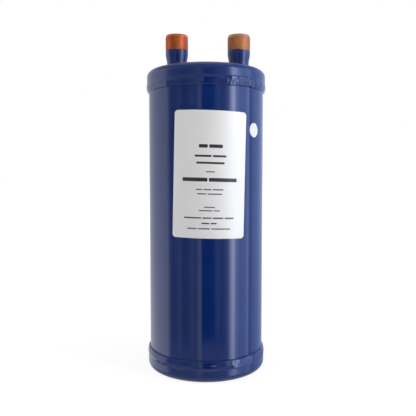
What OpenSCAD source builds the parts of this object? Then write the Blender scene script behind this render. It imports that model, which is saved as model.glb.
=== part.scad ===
// Suction line accumulator: an upright steel vessel with a drawn cap on each end of a tube,
// two copper ports on top, and inside it a turned-out inlet and a U-tube outlet with a
// screened oil return. Millimetres, +Z up, origin at the centre of the bottom end face.
// The label faces -Y, the inlet is at -X and the outlet at +X.

/* [Shell] */
// Outside diameter of the shell tube
shell_od = 127; // [114:1:160]
// Wall of the shell tube
shell_wall = 2; // [1.5:0.1:4]
// Height over the two end caps
body_h = 330; // [280:1:450]

/* [End caps] */
// Wall of the end caps
cap_wall = 2; // [1.5:0.1:3.5]
// Radial gap between the shell and a cap's skirt
cap_fit = 0.1; // [0.05:0.05:0.3]
// Depth of a cap, from its end face to its edge
cap_depth = 20; // [16:0.5:40]
// Outer radius of the knuckle between a cap's end face and its skirt
knuckle_r = 7; // [4.5:0.5:9]
// Gap between the shell's end and the start of the knuckle
seat_gap = 0.5; // [0.2:0.1:2]

/* [Girth welds] */
// Length of a bead on the shell, outside the cap's edge
bead_on_shell = 4; // [2:0.5:8]
// Length of a bead over the cap's skirt
bead_on_cap = 6; // [3:0.5:8]
// Cover of the bead over the cap's edge
bead_crown = 0.2; // [0.2:0.1:1.5]

/* [Ports] */
// Distance between the two port axes
port_spacing = 69; // [60:1:76]
// Sideways shift of the port pair from the vessel's axis
port_shift = 2; // [0:0.5:4]
// Outside diameter of the port tubes, and of the pipe that their cups take
pipe_od = 22.2; // [15.9:0.1:25.4]
// Wall of the port tubes
pipe_wall = 1.3; // [0.8:0.1:2]
// Radial gap between a pipe and the cup it enters
cup_fit = 0.1; // [0.05:0.05:0.3]
// Straight depth of each port's cup
cup_depth = 21.5; // [12:0.5:32]
// Length of the taper between cup and tube
taper_len = 7.5; // [4:0.5:15]
// Straight neck between the top end face and the taper
neck_h = 11; // [6:0.5:60]
// Length of the eased outer edge at a cup's mouth
lip_len = 2.5; // [1:0.1:4]
// Depth of the eased outer edge at a cup's mouth
lip_ease = 0.6; // [0.2:0.1:0.7]
// Radial gap between a port tube and its hole in the cap
braze_fit = 0.1; // [0.05:0.05:0.3]
// Leg of a filler fillet
braze_leg = 3; // [2:0.5:4]
// Flat toe at each end of a filler fillet
braze_toe = 0.4; // [0.2:0.1:0.8]

/* [Joints inside] */
// Port tube between the top cap and the joint below it
joint_reach = 14; // [8:0.5:40]
// Depth of the cup that takes the port tube's lower end
joint_cup = 12; // [8:0.5:20]
// Taper below that cup
joint_taper = 5; // [3:0.5:10]
// Centre line radius of the inlet elbow
elbow_r = 24; // [18:0.5:30]
// Straight stretch at each end of the inlet elbow
elbow_lip = 4; // [2:0.5:8]

/* [U-tube] */
// Centre line radius of the U-bend
bend_r = 33; // [29:0.5:38]
// Gap between the straps on the far leg and the shell
leg_gap = 4.4; // [2:0.1:8]
// Drop of the open end below the top cap
intake_drop = 26; // [15:1:60]
// Diameter of the siphon-break hole in the outlet leg
vent_d = 3; // [1:0.1:5]
// Drop of the siphon-break hole below the joint
vent_drop = 12; // [6:0.5:30]

/* [Oil return] */
// Diameter of the metering orifice
orifice_d = 1.6; // [0.8:0.1:3]
// Diameter of the hole in the bend for the fitting's stem
stem_d = 8; // [6:0.1:10]
// Radial gap between the stem and its hole
stem_fit = 0.05; // [0.02:0.01:0.15]
// Stem that stands proud inside the bend
stem_proud = 1.2; // [0.5:0.1:3]
// Diameter of the fitting's head
head_d = 12.6; // [11:0.1:16]
// Height of the fitting's head
head_h = 5; // [4.5:0.1:10]
// Open length of the screen below the head
screen_h = 11; // [9:0.5:20]
// Wall of the screen sleeve
screen_wall = 0.6; // [0.4:0.1:1]
// Radial gap between the screen's pieces
screen_fit = 0.1; // [0.05:0.05:0.2]
// Diameter of the screen's perforations
mesh_d = 1.6; // [0.8:0.1:2]
// Perforations round the screen
mesh_around = 12; // [8:2:16]
// Rows of perforations
mesh_rows = 3; // [2:1:4]
// Wall of the screen's end cap
screen_cap_wall = 0.8; // [0.5:0.1:1.5]
// Rim of the screen's end cap over the sleeve
screen_cap_rim = 2; // [1:0.1:3]
// Gap between the screen's end cap and the bottom cap
screen_clear = 3.2; // [2:0.1:10]
// Wall of the spring clip
clip_wall = 0.8; // [0.5:0.1:1.2]
// Height of the spring clip
clip_h = 3.5; // [2:0.1:4]
// Opening of the spring clip
clip_slit = 2.5; // [1:0.1:5]

/* [Leg strap] */
// Height of the strap's lower edge over the start of the U-bend
strap_up = 100; // [20:1:160]
// Width of the strap
strap_w = 14; // [11:0.5:25]
// Wall of each strap half
strap_wall = 1.2; // [0.8:0.1:2]
// Radial gap between a strap half and the legs
strap_fit = 0.1; // [0.05:0.05:0.3]
// Diameter of the rivet's shank
rivet_d = 5; // [3:0.1:6]
// Radial gap between the rivet and its hole
rivet_fit = 0.05; // [0.02:0.01:0.15]
// Diameter of the rivet's heads
rivet_head_d = 9; // [7:0.1:10]
// Height of the rivet's heads
rivet_head_h = 2; // [1:0.1:3]

/* [Label] */
// Width of the label, round the shell
label_w = 78.5; // [50:0.5:84]
// Height of the label
label_h = 130; // [60:1:160]
// Corner radius of the label
label_corner_r = 3.5; // [1:0.5:10]
// Thickness of the label and of the dot
label_thick = 0.15; // [0.1:0.05:0.4]
// Adhesive under the label and the dot
label_glue = 0.1; // [0.05:0.05:0.2]
// Turn of the label's middle round the shell, towards +X
label_turn = 4; // [0:0.5:10]
// Clockwise tilt of the label, seen from the front
label_tilt = 1.5; // [0:0.1:3]
// Drop of the label's upper edge below the top bead
label_drop = 25; // [10:1:80]
// Diameter of the round dot beside the label
dot_d = 15; // [8:0.5:24]
// Gap between the label's edge and the dot
dot_gap = 7; // [4:0.1:20]
// Drop of the dot's middle below the top bead
dot_drop = 43; // [20:1:150]

/* [Hidden] */
$fn = 96;
// Overrun of a cutting shape past the solid that it cuts
past = 1;

// Shell and caps
shell_r = shell_od / 2;
shell_ir = shell_r - shell_wall;
shell_foot = knuckle_r + seat_gap;
cap_r = shell_r + cap_fit + cap_wall;
cap_floor = cap_wall;
cap_ceiling = body_h - cap_wall;
bead_reach = cap_depth + bead_on_shell;
top_toe = body_h - bead_reach;

// The bead's outer face is an arc from toe to toe that covers the cap's edge
bead_toe_shell = [shell_r, -bead_on_shell];
bead_toe_cap = [cap_r, bead_on_cap];
bead_chord = bead_toe_cap - bead_toe_shell;
bead_out = [bead_chord.y, -bead_chord.x] / norm(bead_chord);
bead_rise = ([cap_r, 0] - bead_toe_shell) * bead_out + bead_crown;
bead_arc_r = (pow(norm(bead_chord) / 2, 2) + pow(bead_rise, 2)) / (2 * bead_rise);
bead_centre = (bead_toe_shell + bead_toe_cap) / 2 - (bead_arc_r - bead_rise) * bead_out;

// Ports
pipe_r = pipe_od / 2;
pipe_ir = pipe_r - pipe_wall;
cup_ir = pipe_r + cup_fit;
cup_or = cup_ir + pipe_wall;
inlet_x = port_shift - port_spacing / 2;
outlet_x = port_shift + port_spacing / 2;
port_hole_r = pipe_r + braze_fit;
taper_z = body_h + neck_h;
cup_z = taper_z + taper_len;
mouth_z = cup_z + cup_depth;

// Joints inside
joint_mouth_z = cap_ceiling - joint_reach;
port_end_z = joint_mouth_z - joint_cup;
joint_tube_z = port_end_z - joint_taper;
elbow_bend_z = joint_tube_z - elbow_lip;

// Oil return, stacked up from the bottom cap
screen_foot_z = cap_floor + screen_clear;
sleeve_z = screen_foot_z + screen_cap_wall;
head_z = sleeve_z + screen_h;
bend_floor_z = head_z + head_h;
sleeve_ir = head_d / 2 + screen_fit;
sleeve_or = sleeve_ir + screen_wall;
sleeve_grip_r = sleeve_or + screen_fit;

// U-tube: the far leg stands a set gap inside the shell
bend_z = bend_floor_z + pipe_r + bend_r;
intake_z = cap_ceiling - intake_drop;
strap_ir = pipe_r + strap_fit;
strap_or = strap_ir + strap_wall;
leg_out = shell_ir - leg_gap - strap_or;
leg_span = 2 * bend_r;
u_cos = (pow(leg_out, 2) - pow(outlet_x, 2) - pow(leg_span, 2)) / (2 * leg_span * outlet_x);
u_turn = acos(u_cos);
bend_centre = [outlet_x + bend_r * cos(u_turn), bend_r * sin(u_turn)];
strap_z = bend_z + strap_up;

// Label and dot, placed by their angle round the shell
label_r = shell_r + label_glue;
label_half_turn = label_w / 2 / shell_r * 180 / PI;
label_chord = 2 * shell_r * sin(label_half_turn);
label_z = top_toe - label_drop - label_h / 2;
dot_turn = label_turn + label_half_turn + (dot_gap + dot_d / 2) / shell_r * 180 / PI;
dot_z = top_toe - dot_drop;

// Finishes
paint_blue = [0.05, 0.10, 0.30];
copper = [0.72, 0.42, 0.29];
filler = [0.78, 0.66, 0.42];
steel = [0.62, 0.63, 0.65];
brass = [0.78, 0.62, 0.30];
label_white = [0.93, 0.93, 0.94];

// A tube between two heights
module tube(outer_r, inner_r, z_low, z_high) {
    translate([0, 0, z_low])
        difference() {
            cylinder(r = outer_r, h = z_high - z_low);
            translate([0, 0, -past])
                cylinder(r = inner_r, h = z_high - z_low + 2 * past);
        }
}

// A bent stretch of port tube: it starts at +X of the bend's centre and turns towards +Y
module tube_bend(radius, angle) {
    rotate_extrude(angle = angle)
        translate([radius, 0])
            rotate(90)
                difference() {
                    circle(r = pipe_r);
                    circle(r = pipe_ir);
                }
}

// Half section of a round-cornered cup that stands on its end
module cup_section(radius, corner_r, depth) {
    square([radius - corner_r, depth]);
    translate([0, corner_r])
        square([radius, depth - corner_r]);
    translate([radius - corner_r, corner_r])
        circle(r = corner_r);
}

// A drawn cap, end face down
module drawn_cap() {
    rotate_extrude()
        difference() {
            intersection() {
                cup_section(cap_r, knuckle_r, cap_depth);
                square([cap_r, cap_depth]);
            }
            translate([0, cap_wall])
                intersection() {
                    cup_section(cap_r - cap_wall, knuckle_r - cap_wall, cap_depth);
                    square([cap_r, cap_depth]);
                }
        }
}

// A bead round the edge of a cap whose end face is down
module girth_bead() {
    translate([0, 0, cap_depth])
        mirror([0, 0, 1])
            rotate_extrude()
                difference() {
                    translate(bead_centre)
                        circle(r = bead_arc_r);
                    translate([-cap_r, -cap_r])
                        square([cap_r + shell_r, 2 * cap_r]);
                    translate([-cap_r, 0])
                        square([2 * cap_r, cap_r]);
                }
}

// Turns what is made at the bottom end over to the top end
module at_top() {
    translate([0, 0, body_h])
        mirror([0, 0, 1])
            children();
}

// A port tube from its cup's mouth down to the joint inside
module port_tube() {
    rotate_extrude()
        polygon([
            [pipe_r, port_end_z], [pipe_r, taper_z], [cup_or, cup_z], [cup_or, mouth_z - lip_len],
            [cup_or - lip_ease, mouth_z], [cup_ir, mouth_z], [cup_ir, cup_z], [pipe_ir, taper_z],
            [pipe_ir, port_end_z]
        ]);
}

// The cup that takes a port tube's lower end, with its tube down to a given height
module joint_socket(z_low) {
    rotate_extrude()
        polygon([
            [pipe_r, z_low], [pipe_r, joint_tube_z], [cup_or, port_end_z], [cup_or, joint_mouth_z],
            [cup_ir, joint_mouth_z], [cup_ir, port_end_z], [pipe_ir, joint_tube_z], [pipe_ir, z_low]
        ]);
}

// A hollow-faced fillet of filler round a tube, standing on a face
module filler_fillet(inner_r, leg) {
    rotate_extrude()
        translate([inner_r, 0])
            difference() {
                square(leg);
                translate([leg, leg])
                    circle(r = leg - braze_toe);
            }
}

// Places what follows at the middle of the U-bend, with +X from the outlet leg to the far leg
module at_bend(z) {
    translate([bend_centre.x, bend_centre.y, z])
        rotate([0, 0, u_turn])
            children();
}

// Wraps a flat outline, drawn as seen from outside, onto the shell's face
module on_shell(turn, z) {
    intersection() {
        tube(label_r + label_thick, label_r, 0, body_h);
        rotate([0, 0, turn])
            translate([0, 0, z])
                rotate([90, 0, 0])
                    linear_extrude(height = shell_od)
                        children();
    }
}

module rounded_rectangle(width, height, corner_r) {
    square([width - 2 * corner_r, height], center = true);
    square([width, height - 2 * corner_r], center = true);
    for (x = [-1, 1], y = [-1, 1])
        translate([x * (width / 2 - corner_r), y * (height / 2 - corner_r)])
            circle(r = corner_r);
}

// One of the two strap halves, on the +Y side of the legs
module strap_half() {
    difference() {
        linear_extrude(height = strap_w)
            difference() {
                union() {
                    for (side = [-1, 1])
                        translate([side * bend_r, 0])
                            circle(r = strap_or);
                    translate([-bend_r, 0])
                        square([leg_span, strap_wall]);
                }
                for (side = [-1, 1])
                    translate([side * bend_r, 0])
                        circle(r = strap_ir);
                translate([-leg_span, -leg_span])
                    square([2 * leg_span, leg_span]);
            }
        translate([0, -past, strap_w / 2])
            rotate([-90, 0, 0])
                cylinder(d = rivet_d + 2 * rivet_fit, h = strap_wall + 2 * past);
    }
}

module rivet_head() {
    head_sphere_r = (pow(rivet_head_d / 2, 2) + pow(rivet_head_h, 2)) / (2 * rivet_head_h);
    intersection() {
        translate([0, 0, rivet_head_h - head_sphere_r])
            sphere(r = head_sphere_r);
        cylinder(d = rivet_head_d, h = rivet_head_h);
    }
}

module shell_tube() {
    color(paint_blue)
        tube(shell_r, shell_ir, shell_foot, body_h - shell_foot);
}

module top_cap() {
    color(paint_blue)
        difference() {
            at_top()
                drawn_cap();
            for (x = [inlet_x, outlet_x])
                translate([x, 0, cap_ceiling - past])
                    cylinder(r = port_hole_r, h = cap_wall + 2 * past);
        }
}

module bottom_cap() {
    color(paint_blue)
        drawn_cap();
}

module top_girth_weld() {
    color(paint_blue)
        at_top()
            girth_bead();
}

module bottom_girth_weld() {
    color(paint_blue)
        girth_bead();
}

module inlet_tube() {
    color(copper)
        translate([inlet_x, 0, 0])
            port_tube();
}

module outlet_tube() {
    color(copper)
        translate([outlet_x, 0, 0])
            port_tube();
}

module inlet_braze() {
    color(filler)
        translate([inlet_x, 0, body_h])
            filler_fillet(pipe_r, braze_leg);
}

module outlet_braze() {
    color(filler)
        translate([outlet_x, 0, body_h])
            filler_fillet(pipe_r, braze_leg);
}

module inlet_elbow() {
    color(copper)
        translate([inlet_x, 0, 0]) {
            joint_socket(elbow_bend_z);
            translate([0, -elbow_r, elbow_bend_z])
                rotate([-90, 0, 90])
                    tube_bend(elbow_r, 90);
            translate([0, -elbow_r, elbow_bend_z - elbow_r])
                rotate([90, 0, 0])
                    tube(pipe_r, pipe_ir, 0, elbow_lip);
        }
}

module u_tube() {
    color(copper)
        at_bend(0)
            difference() {
                union() {
                    translate([-bend_r, 0, 0])
                        joint_socket(bend_z);
                    translate([0, 0, bend_z])
                        rotate([-90, 0, 0])
                            tube_bend(bend_r, 180);
                    translate([bend_r, 0, 0])
                        tube(pipe_r, pipe_ir, bend_z, intake_z);
                }
                translate([0, 0, bend_floor_z - past])
                    cylinder(d = stem_d, h = pipe_r);
                translate([-bend_r, 0, joint_tube_z - vent_drop])
                    rotate([-90, 0, 0])
                        cylinder(d = vent_d, h = pipe_od);
            }
}

module elbow_braze() {
    color(filler)
        translate([inlet_x, 0, joint_mouth_z])
            filler_fillet(pipe_r, pipe_wall + cup_fit);
}

module u_tube_braze() {
    color(filler)
        translate([outlet_x, 0, joint_mouth_z])
            filler_fillet(pipe_r, pipe_wall + cup_fit);
}

module orifice_fitting() {
    color(brass)
        at_bend(head_z)
            difference() {
                union() {
                    cylinder(d = head_d, h = head_h);
                    cylinder(d = stem_d - 2 * stem_fit, h = head_h + pipe_wall + stem_proud);
                }
                translate([0, 0, -past])
                    cylinder(d = orifice_d, h = head_h + pipe_wall + stem_proud + 2 * past);
            }
}

module screen_sleeve() {
    row_pitch = (screen_h - screen_cap_rim) / mesh_rows;
    color(brass)
        at_bend(0)
            difference() {
                tube(sleeve_or, sleeve_ir, sleeve_z, bend_floor_z);
                for (row = [0 : mesh_rows - 1], step = [0 : mesh_around - 1])
                    rotate([0, 0, (step + row % 2 / 2) * 360 / mesh_around])
                        translate([sleeve_ir - past, 0, sleeve_z + screen_cap_rim + (row + 0.5) * row_pitch])
                            rotate([0, 90, 0])
                                cylinder(d = mesh_d, h = screen_wall + 2 * past);
            }
}

module screen_cap() {
    color(brass)
        at_bend(screen_foot_z)
            difference() {
                cylinder(r = sleeve_grip_r + screen_cap_wall, h = screen_cap_wall + screen_cap_rim);
                translate([0, 0, screen_cap_wall])
                    cylinder(r = sleeve_grip_r, h = screen_cap_rim + past);
            }
}

module screen_clip() {
    color(steel)
        at_bend(head_z + (head_h - clip_h) / 2)
            difference() {
                tube(sleeve_grip_r + clip_wall, sleeve_grip_r, 0, clip_h);
                translate([0, -clip_slit / 2, -past])
                    cube([sleeve_or + 2 * clip_wall, clip_slit, clip_h + 2 * past]);
            }
}

module leg_strap_front() {
    color(steel)
        at_bend(strap_z)
            strap_half();
}

module leg_strap_back() {
    color(steel)
        at_bend(strap_z)
            mirror([0, 1, 0])
                strap_half();
}

module strap_rivet() {
    color(steel)
        at_bend(strap_z + strap_w / 2)
            rotate([90, 0, 0]) {
                cylinder(d = rivet_d, h = 2 * strap_wall, center = true);
                for (turn = [0, 180])
                    rotate([turn, 0, 0])
                        translate([0, 0, strap_wall])
                            rivet_head();
            }
}

module label() {
    color(label_white)
        on_shell(label_turn, label_z)
            rotate(-label_tilt)
                rounded_rectangle(label_chord, label_h, label_corner_r);
}

module dot_sticker() {
    color(label_white)
        on_shell(dot_turn, dot_z)
            circle(d = dot_d);
}

shell_tube();
top_cap();
bottom_cap();
top_girth_weld();
bottom_girth_weld();
inlet_tube();
outlet_tube();
inlet_braze();
outlet_braze();
inlet_elbow();
u_tube();
elbow_braze();
u_tube_braze();
orifice_fitting();
screen_sleeve();
screen_cap();
screen_clip();
leg_strap_front();
leg_strap_back();
strap_rivet();
label();
dot_sticker();
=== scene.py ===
"""Looks of the suction line accumulator: enamel, weld beads, copper ports, label and studio."""

import math

import bmesh
import bpy
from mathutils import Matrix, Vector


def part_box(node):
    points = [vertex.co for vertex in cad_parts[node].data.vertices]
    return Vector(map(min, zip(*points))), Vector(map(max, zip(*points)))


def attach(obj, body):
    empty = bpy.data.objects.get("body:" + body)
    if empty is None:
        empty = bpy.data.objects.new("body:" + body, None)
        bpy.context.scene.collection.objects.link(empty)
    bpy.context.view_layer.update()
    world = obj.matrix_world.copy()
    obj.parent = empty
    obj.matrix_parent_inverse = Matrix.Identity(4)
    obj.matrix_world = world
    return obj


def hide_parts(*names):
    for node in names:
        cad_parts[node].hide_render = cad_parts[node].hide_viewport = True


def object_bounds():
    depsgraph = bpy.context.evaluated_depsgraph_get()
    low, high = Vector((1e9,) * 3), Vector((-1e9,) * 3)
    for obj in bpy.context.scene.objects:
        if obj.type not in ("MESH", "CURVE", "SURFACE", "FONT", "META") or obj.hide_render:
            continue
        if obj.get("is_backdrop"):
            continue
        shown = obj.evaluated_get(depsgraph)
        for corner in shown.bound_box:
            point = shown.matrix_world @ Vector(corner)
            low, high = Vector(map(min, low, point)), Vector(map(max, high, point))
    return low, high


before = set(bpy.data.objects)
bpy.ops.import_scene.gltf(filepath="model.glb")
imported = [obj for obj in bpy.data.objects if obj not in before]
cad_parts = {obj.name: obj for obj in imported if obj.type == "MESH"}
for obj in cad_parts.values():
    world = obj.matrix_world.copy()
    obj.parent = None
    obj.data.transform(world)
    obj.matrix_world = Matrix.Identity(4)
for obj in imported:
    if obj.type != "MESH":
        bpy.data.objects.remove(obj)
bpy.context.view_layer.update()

MM = 0.001

# Sizes that the frame gives
shell_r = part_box("shell_tube")[1].x
cap_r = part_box("top_cap")[1].x
body_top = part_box("top_cap")[1].z
top_seam_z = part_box("top_cap")[0].z
bottom_seam_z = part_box("bottom_cap")[1].z
bead_on_shell = top_seam_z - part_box("top_girth_weld")[0].z
bead_on_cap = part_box("top_girth_weld")[1].z - top_seam_z
bead_peak_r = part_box("top_girth_weld")[1].x
mouth_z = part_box("inlet_tube")[1].z
label_low, label_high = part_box("label")
dot_low, dot_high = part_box("dot_sticker")

# Port tubes: a drawn cup, its taper and the tube below it
CUP_DEPTH = 21.5 * MM
TAPER_LEN = 7.5 * MM
TUBE_R = 11.1 * MM
TUBE_WALL = 1.3 * MM
LIP_LEN = 2.5 * MM
LIP_EASE = 0.6 * MM
LIP_R = 3 * MM
DRAW_R = 9 * MM
EDGE_R = 0.225 * MM
LATHE_STEPS = 128
ARC_STEPS = 6
SHARP_FROM = math.radians(40)

# Height of the enamel's masked edge on the ports over the top end face, and how far it strays
INLET_ENAMEL_UP = 23.6 * MM
OUTLET_ENAMEL_UP = 23.2 * MM
MASK_WANDER = 0.55 * MM
MASK_SOFT = 0.18 * MM

# Ring round a cup's mouth, and the darker seam along its lower edge
RING_W = 3.4 * MM
RING_WANDER = 0.4 * MM
RING_SOFT = 0.4 * MM
RING_SHARE = 0.75
SEAM_W = 0.6 * MM
SEAM_SHARE = 0.5

# Copper of the ports: its stains, the shade painted on its right side and the depth of its drawing
# lines
STAIN_SHARE = 0.40
RIGHT_FROM = 0.1 * TUBE_R
RIGHT_SHADE_SHARE = 0.75
LINE_SHARE = 0.10
PORT_RELIEF = 0.20 * MM

# Enamel on the ports: share of the runs in its relief, and the step up onto it
RUN_SHARE = 0.85
COAT_STEP = 0.6

# Weld beads. Places across the face are shares: 0 at the toe on the shell, 1 at the toe on the cap
FACE_SHARE = 0.9
SHELL_FLANK = (0.07, 0.21)
CAP_FLANK = (1.12, 0.57)
SPATTER_FLANK = (1.0, 0.84)
STOP_FLANK = (1.12, 0.66)
RELIEF_ON_SHELL, RELIEF_ON_CAP = (0.0, 0.14), (1.0, 0.86)
WANDER_ON_SHELL, WANDER_ON_CAP = (0.0, 0.06), (1.0, 0.80)
DIP_ON_SHELL, DIP_ON_CAP = (0.0, 0.08), (1.0, 0.80)
MELTED = (0.4, 0.9)
EDGE_DRIFT = 0.035
DRIFT_SCALE, UNEVEN_SCALE = 0.5, 0.55
DRIFT_SEED, SPATTER_SEED = 5.0, 9.0
CRESCENT_LEAN, CRESCENT_BEND = 0.2, 7.0
RIPPLE_SWAY = 0.9
CRATER_LEAN, CRATER_SQUASH = 0.17, 0.6
CRATER_RING, CRATER_FLOOR = 0.45, 0.4
TOE_OVERRUN = math.radians(7)
BEAD_MERGE = 0.005 * MM

# Chip in the lower bead's enamel
CHIP_SIZE = (7.5 * MM, 2.4 * MM)
CHIP_AZIMUTH = 7.0
CHIP_DROP = 0.8 * MM
CHIP_ROUGH = 0.5
CHIP_DEPTH = 0.05 * MM

# Label and dot, as they are cut flat
LABEL_W = 78.5 * MM
LABEL_H = 130 * MM
LABEL_CORNER_R = 3.5 * MM
LABEL_TURN = math.radians(4)
LABEL_TILT = math.radians(1.5)
FILM_THICK = 0.15 * MM
GLUE_THICK = 0.1 * MM
INK_LIFT = 0.02 * MM
INK_THICK = 0.02 * MM
SHEET_STEP = 2 * MM
SHEET_MERGE = 0.002 * MM
CUT_MERGE = 0.0005 * MM

# Printed lines as plain bars, in millimetres: drop from the label's top, bar height, bar lengths
PRINT_LINES = [
    (36, 3.4, [9, 14]),
    (46, 2.0, [17, 14]),
    (53, 2.0, [29]),
    (62, 1.0, [9]),
    (70, 3.8, [26, 30]),
    (80, 1.1, [6, 8, 11]),
    (84.5, 1.1, [9, 15]),
    (98, 1.0, [11]),
    (101.5, 1.0, [14, 6]),
    (109, 1.3, [18, 9, 11, 10]),
    (114.5, 1.3, [8, 6]),
    (120, 1.1, [10, 12, 20]),
]
BAR_GAP = 1.5
BAR_ROUND = 0.2

# Camera
LENS = 46.41
SENSOR = 36.0
CAMERA_PLACE = (2.17 * MM, -607.3 * MM, 215.4 * MM)
CAMERA_DOWN = math.radians(3.476)
CLIP_NEAR, CLIP_FAR = 0.01, 100

# Paint and metal colours
NAVY = (0.0035, 0.023, 0.142, 1)
NAVY_THIN = (0.0050, 0.028, 0.165, 1)
COPPER_RED = (0.48, 0.058, 0.012, 1)
COPPER_TAN = (0.54, 0.195, 0.052, 1)
COPPER_BROWN = (0.20, 0.052, 0.016, 1)
COPPER_ROSE = (0.66, 0.154, 0.058, 1)
COPPER_DULL = (0.54, 0.250, 0.150, 1)
COPPER_BRIGHT = (0.74, 0.30, 0.092, 1)
FILM_WHITE = (0.90, 0.90, 0.905, 1)
FILM_SOIL = (0.86, 0.86, 0.87, 1)
# Dot film: greyer than the label, with a painted bluish tint for the reflection it shows at its slant
DOT_REFLECTION_TINTED_WHITE = (0.76, 0.78, 0.82, 1)
DOT_REFLECTION_TINTED_SOIL = (0.70, 0.72, 0.77, 1)
INK_BLACK = (0.022, 0.022, 0.026, 1)
INK_THIN = (0.10, 0.10, 0.11, 1)
BARE_WELD = (0.060, 0.056, 0.135, 1)
FILLER = (0.62, 0.48, 0.26, 1)
FILLER_DARK = (0.30, 0.22, 0.12, 1)
BRASS = (0.72, 0.50, 0.19, 1)
BRASS_DARK = (0.34, 0.22, 0.09, 1)
STEEL = (0.52, 0.53, 0.55, 1)
STEEL_DARK = (0.26, 0.26, 0.27, 1)
WHITE = (1, 1, 1, 1)

# Roughness where clean and where stained, handled or thin, and depth of the grain
COPPER_ROUGH = (0.42, 0.58)
FILM_ROUGH = (0.36, 0.48)
INK_ROUGH = (0.42, 0.55)
METAL_RELIEF = 0.015 * MM
FILM_RELIEF = 0.008 * MM

# Most of a noise lies between these two values, and a smudge is full at the third
NOISE_LOW, NOISE_HIGH = 0.3, 0.7
SMUDGE_FULL = 0.6


class Bench:
    """Places nodes in a tree. An input is a plain value or the socket that feeds it."""

    def __init__(self, tree):
        self.tree = tree

    def feed(self, socket, value):
        if isinstance(value, bpy.types.NodeSocket):
            self.tree.links.new(value, socket)
        else:
            socket.default_value = value

    def node(self, kind, inputs=None, **settings):
        made = self.tree.nodes.new(kind)
        for name, value in settings.items():
            setattr(made, name, value)
        for key, value in (inputs or {}).items():
            self.feed(made.inputs[key], value)
        return made

    def out(self, kind, inputs=None, **settings):
        """The first output of a new node."""
        return self.node(kind, inputs, **settings).outputs[0]

    def calc(self, operation, *values):
        made = self.node("ShaderNodeMath", operation=operation)
        for socket, value in zip(made.inputs, values):
            self.feed(socket, value)
        return made.outputs[0]

    def plus(self, first, second):
        return self.calc("ADD", first, second)

    def minus(self, first, second):
        return self.calc("SUBTRACT", first, second)

    def times(self, first, second):
        return self.calc("MULTIPLY", first, second)

    def over(self, first, second):
        return self.calc("DIVIDE", first, second)

    def times_plus(self, first, second, third):
        return self.calc("MULTIPLY_ADD", first, second, third)

    def larger(self, first, second):
        return self.calc("MAXIMUM", first, second)

    def size_of(self, value):
        return self.calc("ABSOLUTE", value)

    def square(self, value):
        return self.calc("POWER", value, 2.0)

    def cosine(self, angle):
        return self.calc("COSINE", angle)

    def sine(self, angle):
        return self.calc("SINE", angle)

    def ramp(self, value, low, high, out_low=0.0, out_high=1.0, smooth=False):
        """The value's place between low and high, put between out_low and out_high."""
        names = ("Value", "From Min", "From Max", "To Min", "To Max")
        made = self.node(
            "ShaderNodeMapRange",
            dict(zip(names, (value, low, high, out_low, out_high))),
            interpolation_type="SMOOTHSTEP" if smooth else "LINEAR",
        )
        return made.outputs["Result"]

    def mix(self, share, first, second):
        made = self.node("ShaderNodeMix", {0: share, 2: first, 3: second}, data_type="FLOAT")
        return made.outputs[0]

    def mix_colour(self, share, first, second, **settings):
        made = self.node("ShaderNodeMix", {0: share, 6: first, 7: second}, data_type="RGBA", **settings)
        return made.outputs[2]

    def noise(self, place, scale, detail, seed):
        return self.out(
            "ShaderNodeTexNoise",
            {"Vector": place, "W": seed, "Scale": scale, "Detail": detail},
            noise_dimensions="4D",
        )

    def object_place(self):
        return self.node("ShaderNodeTexCoord").outputs["Object"]

    def stretched(self, place, scale):
        """Object coordinates with each axis multiplied by its own factor."""
        return self.out("ShaderNodeMapping", {"Vector": place, "Scale": scale})

    def axes(self, place):
        return self.node("ShaderNodeSeparateXYZ", {0: place}).outputs

    def point(self, x, y, z):
        return self.out("ShaderNodeCombineXYZ", {0: x, 1: y, 2: z})

    def length(self, place):
        return self.node("ShaderNodeVectorMath", {0: place}, operation="LENGTH").outputs["Value"]


# Shader groups that several finishes share


def effect_group(name, inputs, outputs):
    group = bpy.data.node_groups.new(name, "ShaderNodeTree")
    for label, value in inputs.items():
        socket = group.interface.new_socket(label, in_out="INPUT", socket_type="NodeSocketFloat")
        socket.default_value = value
    for label in outputs:
        group.interface.new_socket(label, in_out="OUTPUT", socket_type="NodeSocketFloat")
    bench = Bench(group)
    return group, bench, bench.node("NodeGroupInput").outputs, bench.node("NodeGroupOutput").inputs


def make_orange_peel():
    """Fine peel and long waves of a sprayed coat, with slow changes in its film."""
    group, bench, given, out = effect_group(
        "Orange peel",
        {"Peel Scale": 620.0, "Wave Scale": 55.0, "Wave Share": 0.6},
        ["Height", "Film"],
    )
    place = bench.object_place()
    peel = bench.noise(place, given["Peel Scale"], detail=1.0, seed=1.3)
    wave = bench.noise(place, given["Wave Scale"], detail=0.5, seed=2.7)
    bench.feed(out["Height"], bench.mix(given["Wave Share"], peel, wave))
    film = bench.noise(place, scale=34.0, detail=3.0, seed=5.1)
    bench.feed(out["Film"], bench.ramp(film, 0.35, 0.7, smooth=True))
    return group


def make_handling():
    """Smudges and faint rubbed streaks left by handling."""
    group, bench, given, out = effect_group(
        "Handling marks", {"Smudge Scale": 42.0, "Streak Scale": 260.0}, ["Smudge"]
    )
    place = bench.object_place()
    smudge = bench.noise(place, given["Smudge Scale"], detail=5.0, seed=8.2)
    along = bench.stretched(place, (1, 1, 0.08))
    streak = bench.noise(along, given["Streak Scale"], detail=2.0, seed=3.9)
    both = bench.times(bench.ramp(smudge, 0.42, 0.68, smooth=True), streak)
    bench.feed(out["Smudge"], both)
    return group


def make_tarnish():
    """Stains on bare metal, with drawing lines along the tube."""
    group, bench, given, out = effect_group(
        "Tarnish", {"Stain Scale": 120.0, "Line Scale": 900.0}, ["Stain", "Lines"]
    )
    place = bench.object_place()
    stain = bench.noise(place, given["Stain Scale"], detail=6.0, seed=6.6)
    bench.feed(out["Stain"], bench.ramp(stain, 0.38, 0.66, smooth=True))
    along = bench.stretched(place, (1, 1, 0.05))
    bench.feed(out["Lines"], bench.noise(along, given["Line Scale"], detail=2.0, seed=4.4))
    return group


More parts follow.
